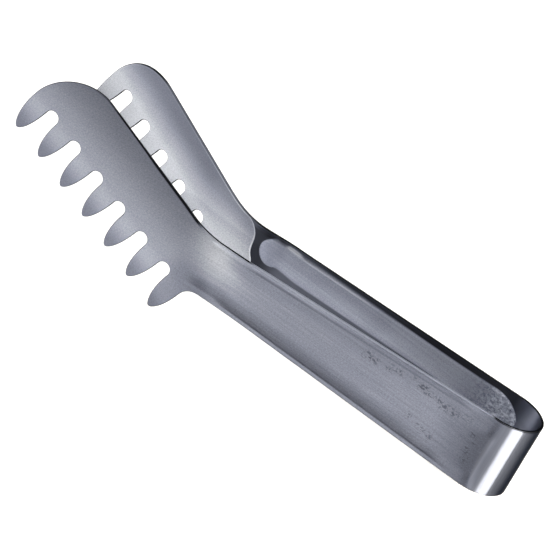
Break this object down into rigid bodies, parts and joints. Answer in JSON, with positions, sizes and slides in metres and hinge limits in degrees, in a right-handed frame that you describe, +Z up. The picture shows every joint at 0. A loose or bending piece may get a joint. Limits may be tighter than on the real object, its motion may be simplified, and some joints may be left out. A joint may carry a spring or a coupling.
{
  "type": "spaghetti tongs",
  "caption": "One-piece stainless steel spaghetti tongs: a sprung bow joins long pressed arms that end in cupped combs with rounded tines, squeezed together to lift pasta.",
  "frame": {"origin": "on the surface the tongs stand on, below the middle of their bounding box", "axes": "+X from the combs to the bow, +Y from the front half to the rear half, +Z up; the tines point down and the tongs stand on edge on the bow and on the tine of each comb nearest its arm"},
  "size_m": [0.208, 0.0514, 0.0631],
  "materials": {
    "polished_steel": "polished",
    "brushed_steel": "brushed along the arm",
    "satin_steel": "satin"
  },
  "bodies": {
    "bow": {"spring_bow": "polished_steel"},
    "front_half": {"front_arm": "brushed_steel", "front_comb": "satin_steel"},
    "rear_half": {"rear_arm": "brushed_steel", "rear_comb": "satin_steel"}
  },
  "joints": [
    {"name": "front_close", "type": "hinge", "parent": "bow", "child": "front_half", "pos_m": [0.09771, -0.00764, 0.0142], "axis": [-0.1051, 0, -0.9945], "range_deg": [0, 6], "stiffness_Nm_per_rad": 8},
    {"name": "rear_close", "type": "hinge", "parent": "bow", "child": "rear_half", "pos_m": [0.09771, 0.00764, 0.0142], "axis": [0.1051, 0, 0.9945], "range_deg": [0, 6], "stiffness_Nm_per_rad": 8}
  ]
}
